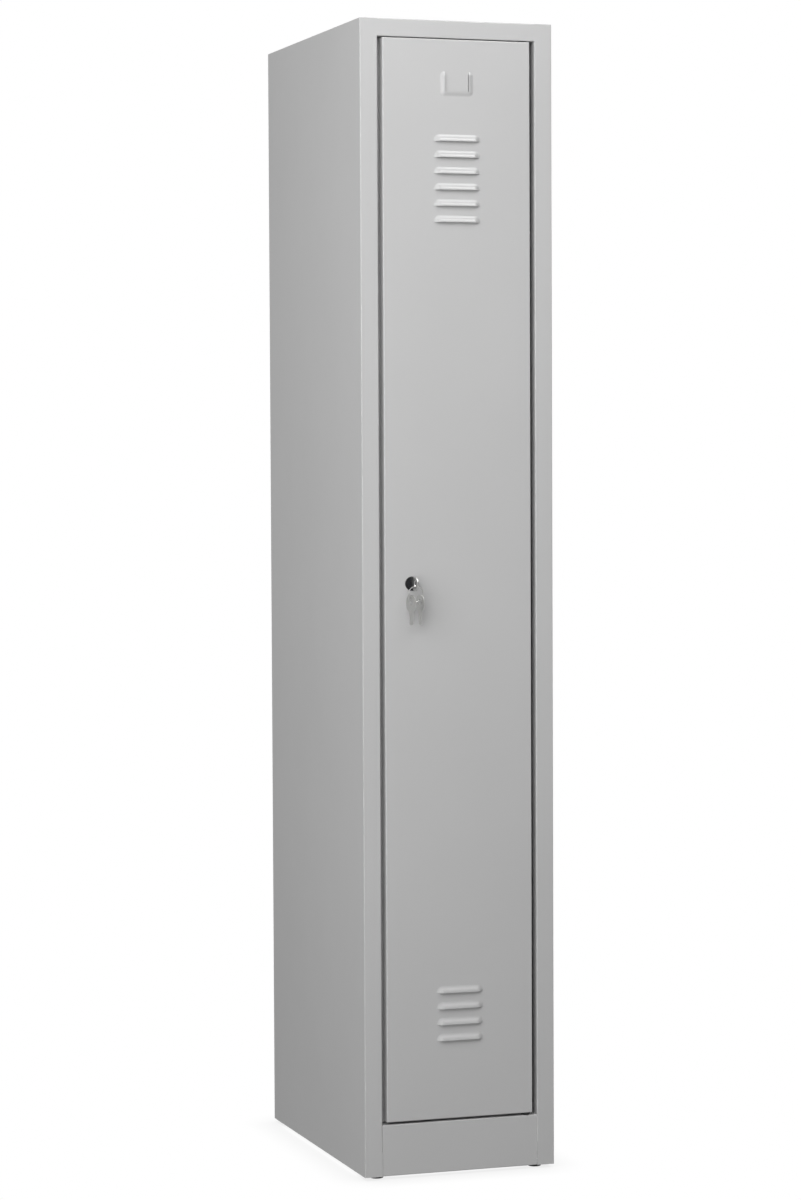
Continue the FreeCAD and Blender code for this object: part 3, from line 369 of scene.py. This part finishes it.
# Cam lock: a black-coated zinc casting through the door, held by a flat nut behind the skin.
# The coat is satin, a little rough from the casting under it, drawn 0.9 mm across so that it shows.
black_zinc, tree, place = new_material("black_coated_zinc_casting")
cast = add_node(tree, "ShaderNodeTexNoise", {"Vector": place, "Scale": per_metre(0.9), "Detail": 3.0})
sheen = add_node(tree, "ShaderNodeMapRange", {"Value": cast.outputs["Fac"], "To Min": 0.30, "To Max": 0.45})
pits = add_node(tree, "ShaderNodeBump", {"Height": cast.outputs["Fac"], "Strength": 0.2, "Distance": 0.00004})
finish_with(tree, add_node(tree, "ShaderNodeBsdfPrincipled", {
    "Base Color": linear("19191B"), "Roughness": sheen.outputs[0], "IOR": 1.5, "Normal": pits.outputs[0]}))
eased("lock_housing", "door", black_zinc, width=0.0004)
paint(zinc, "lock_nut", "lock_cam")

# Cam screw: a zinc-plated cheese head, driven into the plug's tail behind the cam.
# Its slot is sawn: the form of a saw blade, half sunk in the head, is cut out of it.
screw = eased("cam_screw", "lock", zinc, width=0.0003)
screw_low, screw_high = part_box("cam_screw")
screw_x = (screw_low.x + screw_high.x) / 2
screw_z = (screw_low.z + screw_high.z) / 2
blade_long, blade_tall, blade_wide = 0.020, 0.003, 0.0012
blade_place = Matrix.Translation((screw_x, screw_high.y, screw_z))
blade_size = Matrix.Diagonal((blade_long, blade_tall, blade_wide, 1.0))
saw = bmesh.new()
bmesh.ops.create_cube(saw, size=1.0, matrix=blade_place @ blade_size)
blade_mesh = bpy.data.meshes.new("saw_blade")
saw.to_mesh(blade_mesh)
saw.free()
blade = bpy.data.objects.new("saw_blade", blade_mesh)
sawing = screw.modifiers.new("slot", "BOOLEAN")
sawing.object = blade
screw.modifiers.move(1, 0)
sawn = screw.evaluated_get(bpy.context.evaluated_depsgraph_get())
screw.data = bpy.data.meshes.new_from_object(sawn)
screw.modifiers.clear()
bpy.data.objects.remove(blade)

# Lock plug: turned from bar and dark nickel plated, so its face shows fine rings round the keyway.
# They are 0.45 mm apart here, wider than real ones, so that they show. A wave texture draws 20 / tau
# rings per unit of its scale.
dark_nickel, tree, place = new_material("dark_nickel_plate")
plating = add_node(tree, "ShaderNodeTexNoise", {"Vector": place, "Scale": per_metre(0.5), "Detail": 2.0})
lustre = add_node(tree, "ShaderNodeMapRange", {
    "Value": plating.outputs["Fac"], "To Min": 0.26, "To Max": 0.40})
plug_low, plug_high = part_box("lock_plug")
plug_middle = (plug_low + plug_high) / 2
waves_per_scale = 20 / math.tau
from_axis = add_node(tree, "ShaderNodeMapping", {
    "Vector": place, "Location": (-plug_middle.x, 0.0, -plug_middle.z)})
turned = add_node(tree, "ShaderNodeTexWave", {
    "Vector": from_axis.outputs[0], "Scale": per_metre(0.45) / waves_per_scale},
    wave_type="RINGS", rings_direction="Y")
grooves = add_node(tree, "ShaderNodeBump", {
    "Height": turned.outputs["Fac"], "Strength": 0.4, "Distance": 0.00003})
finish_with(tree, add_node(tree, "ShaderNodeBsdfPrincipled", {
    "Base Color": linear("4A4B4E"), "Metallic": 1.0, "Roughness": lustre.outputs[0],
    "Normal": grooves.outputs[0]}))
eased("lock_plug", "lock", dark_nickel, width=0.0003)

# Keys: stamped from nickel silver, nickel plated and tumbled, so their edges are soft and their faces
# unevenly worn. One stands in the lock, and two hang from its ring.
nickel, tree, place = new_material("tumbled_nickel")
wear = add_node(tree, "ShaderNodeTexNoise", {"Vector": place, "Scale": per_metre(0.6), "Detail": 4.0})
worn = add_node(tree, "ShaderNodeMapRange", {"Value": wear.outputs["Fac"], "To Min": 0.30, "To Max": 0.44})
finish_with(tree, add_node(tree, "ShaderNodeBsdfPrincipled", {
    "Base Color": linear("D8D8D6"), "Metallic": 1.0, "Roughness": worn.outputs[0]}))
eased("key_in_lock", "key", nickel, width=0.0003)
for side in ("left", "right"):
    eased(f"spare_key_{side}", f"spare_{side}", nickel, width=0.0003)

# Key ring: spring steel wound nearly two turns from flat wire, nickel plated, so its two coils lie side
# by side with a fine line between them and a stepped end on each face.
split_ring, ring_sizes = new_rule("split_ring", "Radius", "Turns", "Pitch", "Wire width", "Wire thickness")
rise = add_node(split_ring, "ShaderNodeMath", {
    0: ring_sizes["Turns"], 1: ring_sizes["Pitch"]}, operation="MULTIPLY")
coil = add_node(split_ring, "GeometryNodeCurveSpiral", {
    "Resolution": 48, "Rotations": ring_sizes["Turns"], "Height": rise.outputs[0],
    "Start Radius": ring_sizes["Radius"], "End Radius": ring_sizes["Radius"]})
untwisted = add_node(split_ring, "GeometryNodeSetCurveNormal", {"Curve": coil.outputs[0]}, mode="Z_UP")
flat_wire = add_node(split_ring, "GeometryNodeCurvePrimitiveQuadrilateral", {
    "Width": ring_sizes["Wire thickness"], "Height": ring_sizes["Wire width"]})
wound = add_node(split_ring, "GeometryNodeCurveToMesh", {
    "Curve": untwisted.outputs[0], "Profile Curve": flat_wire.outputs[0], "Fill Caps": True})
drop = add_node(split_ring, "ShaderNodeMath", {0: rise.outputs[0], 1: -0.5}, operation="MULTIPLY")
lowering = add_node(split_ring, "ShaderNodeCombineXYZ", {"Z": drop.outputs[0]})
centred = add_node(split_ring, "GeometryNodeTransform", {
    "Geometry": wound.outputs[0], "Translation": lowering.outputs[0]})
end_rule(split_ring, centred.outputs[0], nickel)
ring_low, ring_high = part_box("key_ring")
ring = made_by(split_ring, "split_key_ring", bpy.data.meshes.new("ring"), {
    "Radius": 0.012, "Turns": 1.95, "Pitch": 0.000755, "Wire width": 0.000725, "Wire thickness": 0.0014})
ring.data.transform(Matrix.Translation((ring_low + ring_high) / 2) @ Matrix.Rotation(math.pi / 2, 4, "X"))
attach(ring, "ring")
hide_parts("key_ring")

# Studio: a white floor that runs into a white ground, with a soft shadow painted on it round the locker, and
# the camera where the photographer stood.
# Four soft lamps stand in front, three of them on the left. A small one near the louvres shows only as
# gloss, and two behind light the back.
floor_mesh = bpy.data.meshes.new("studio_floor")
reach = 40.0
below = -0.0004
floor_mesh.from_pydata(
    [(-reach, -reach, below), (reach, -reach, below), (reach, reach, below), (-reach, reach, below)],
    [], [(0, 1, 2, 3)])
floor = bpy.data.objects.new("studio_floor", floor_mesh)
bpy.context.scene.collection.objects.link(floor)
paper, tree, place = new_material("white_floor_with_painted_shadow")
# The floor glows evenly white and no lamp lights it. Within 6 cm of the locker, ambient occlusion turns its
# glow down to 0.8 at most. This is a painted contact shadow, not a cast one.
near = add_node(tree, "ShaderNodeAmbientOcclusion", {"Distance": 0.06}, samples=16)
painted_contact_shadow = add_node(tree, "ShaderNodeMapRange", {"Value": near.outputs["AO"], "To Min": 0.8, "To Max": 1.0})
finish_with(tree, add_node(tree, "ShaderNodeEmission", {
    "Color": linear("FFFFFF"), "Strength": painted_contact_shadow.outputs[0]}))
floor_mesh.materials.append(paper)
floor.visible_diffuse = False
floor.visible_glossy = False

world = bpy.data.worlds.new("white_ground")
world.use_nodes = True
tree = world.node_tree
tree.nodes.clear()
seen = add_node(tree, "ShaderNodeLightPath")
view_way = add_node(tree, "ShaderNodeTexCoord")
toward = add_node(tree, "ShaderNodeSeparateXYZ", {0: view_way.outputs["Generated"]})
bounce = add_node(tree, "ShaderNodeMapRange", {
    "Value": toward.outputs["Z"], "From Min": -0.02, "From Max": 0.02, "To Min": 0.33, "To Max": 0.0})
white = linear("FFFFFF")
from_floor = add_node(tree, "ShaderNodeBackground", {"Color": white, "Strength": bounce.outputs[0]})
around = add_node(tree, "ShaderNodeBackground", {"Color": white, "Strength": 0.5})
ground = add_node(tree, "ShaderNodeBackground", {"Color": white, "Strength": 1.0})
lighting = add_node(tree, "ShaderNodeMixShader", {
    0: seen.outputs["Is Glossy Ray"], 1: from_floor.outputs[0], 2: around.outputs[0]})
either = add_node(tree, "ShaderNodeMixShader", {
    0: seen.outputs["Is Camera Ray"], 1: lighting.outputs[0], 2: ground.outputs[0]})
add_node(tree, "ShaderNodeOutputWorld", {"Surface": either.outputs[0]})
bpy.context.scene.world = world


def soft_light(name, place, aim, size, power, mirrored=True):
    """Square area light at one place, turned to another, which shiny faces may mirror or not."""
    data = bpy.data.lights.new(name, "AREA")
    data.shape = "SQUARE"
    data.size = size
    data.energy = power
    lamp = bpy.data.objects.new(name, data)
    lamp.location = place
    lamp.rotation_euler = (Vector(aim) - Vector(place)).to_track_quat("-Z", "Y").to_euler()
    lamp.visible_glossy = mirrored
    bpy.context.scene.collection.objects.link(lamp)
    return lamp


door_front = (0.0, -0.235, 1.3)
upper_louvres = (0.0, -0.24, 1.6)
back_upper = (0.0, 0.265, 1.0)
back_middle = (0.0, 0.265, 0.9)
soft_light("key_light", (-1.69, -1.93, 1.49), door_front, size=2.8, power=45.2, mirrored=False)
soft_light("high_light", (-1.15, -2.70, 2.97), door_front, size=1.6, power=24.0, mirrored=False)
soft_light("side_light", (-2.12, -1.01, 2.52), door_front, size=2.0, power=14.2)
soft_light("fill_light", (0.90, -2.16, 3.82), door_front, size=1.6, power=33.1, mirrored=False)
gleam = soft_light("louvre_gleam", (0.40, -0.88, 2.53), upper_louvres, size=0.6, power=14.0)
gleam.visible_diffuse = False
soft_light("rear_light", (1.90, 2.70, 1.90), back_upper, size=2.0, power=52.0, mirrored=False)
soft_light("rear_fill", (0.55, 3.30, 1.30), back_middle, size=1.2, power=20.0, mirrored=False)

bpy.context.scene.view_settings.view_transform = "Standard"
lens = bpy.data.cameras.new("photo_camera")
lens.sensor_width = 36.0
lens.lens = 100.03
lens.clip_end = 200.0
camera = bpy.data.objects.new("photo_camera", lens)
turn, tilt, roll = math.radians(-18.569), math.radians(2.556), math.radians(-0.260)
back = Vector((math.sin(turn) * math.cos(tilt), -math.cos(turn) * math.cos(tilt), math.sin(tilt)))
right = Vector((math.cos(turn), math.sin(turn), 0.0))
up = back.cross(right)
heading = Matrix((right, up, back)).transposed().to_4x4()
stand = Matrix.Translation((-1.7401, -5.1307, 1.1354))
camera.matrix_world = stand @ heading @ Matrix.Rotation(roll, 4, "Z")
bpy.context.scene.collection.objects.link(camera)
bpy.context.scene.camera = camera
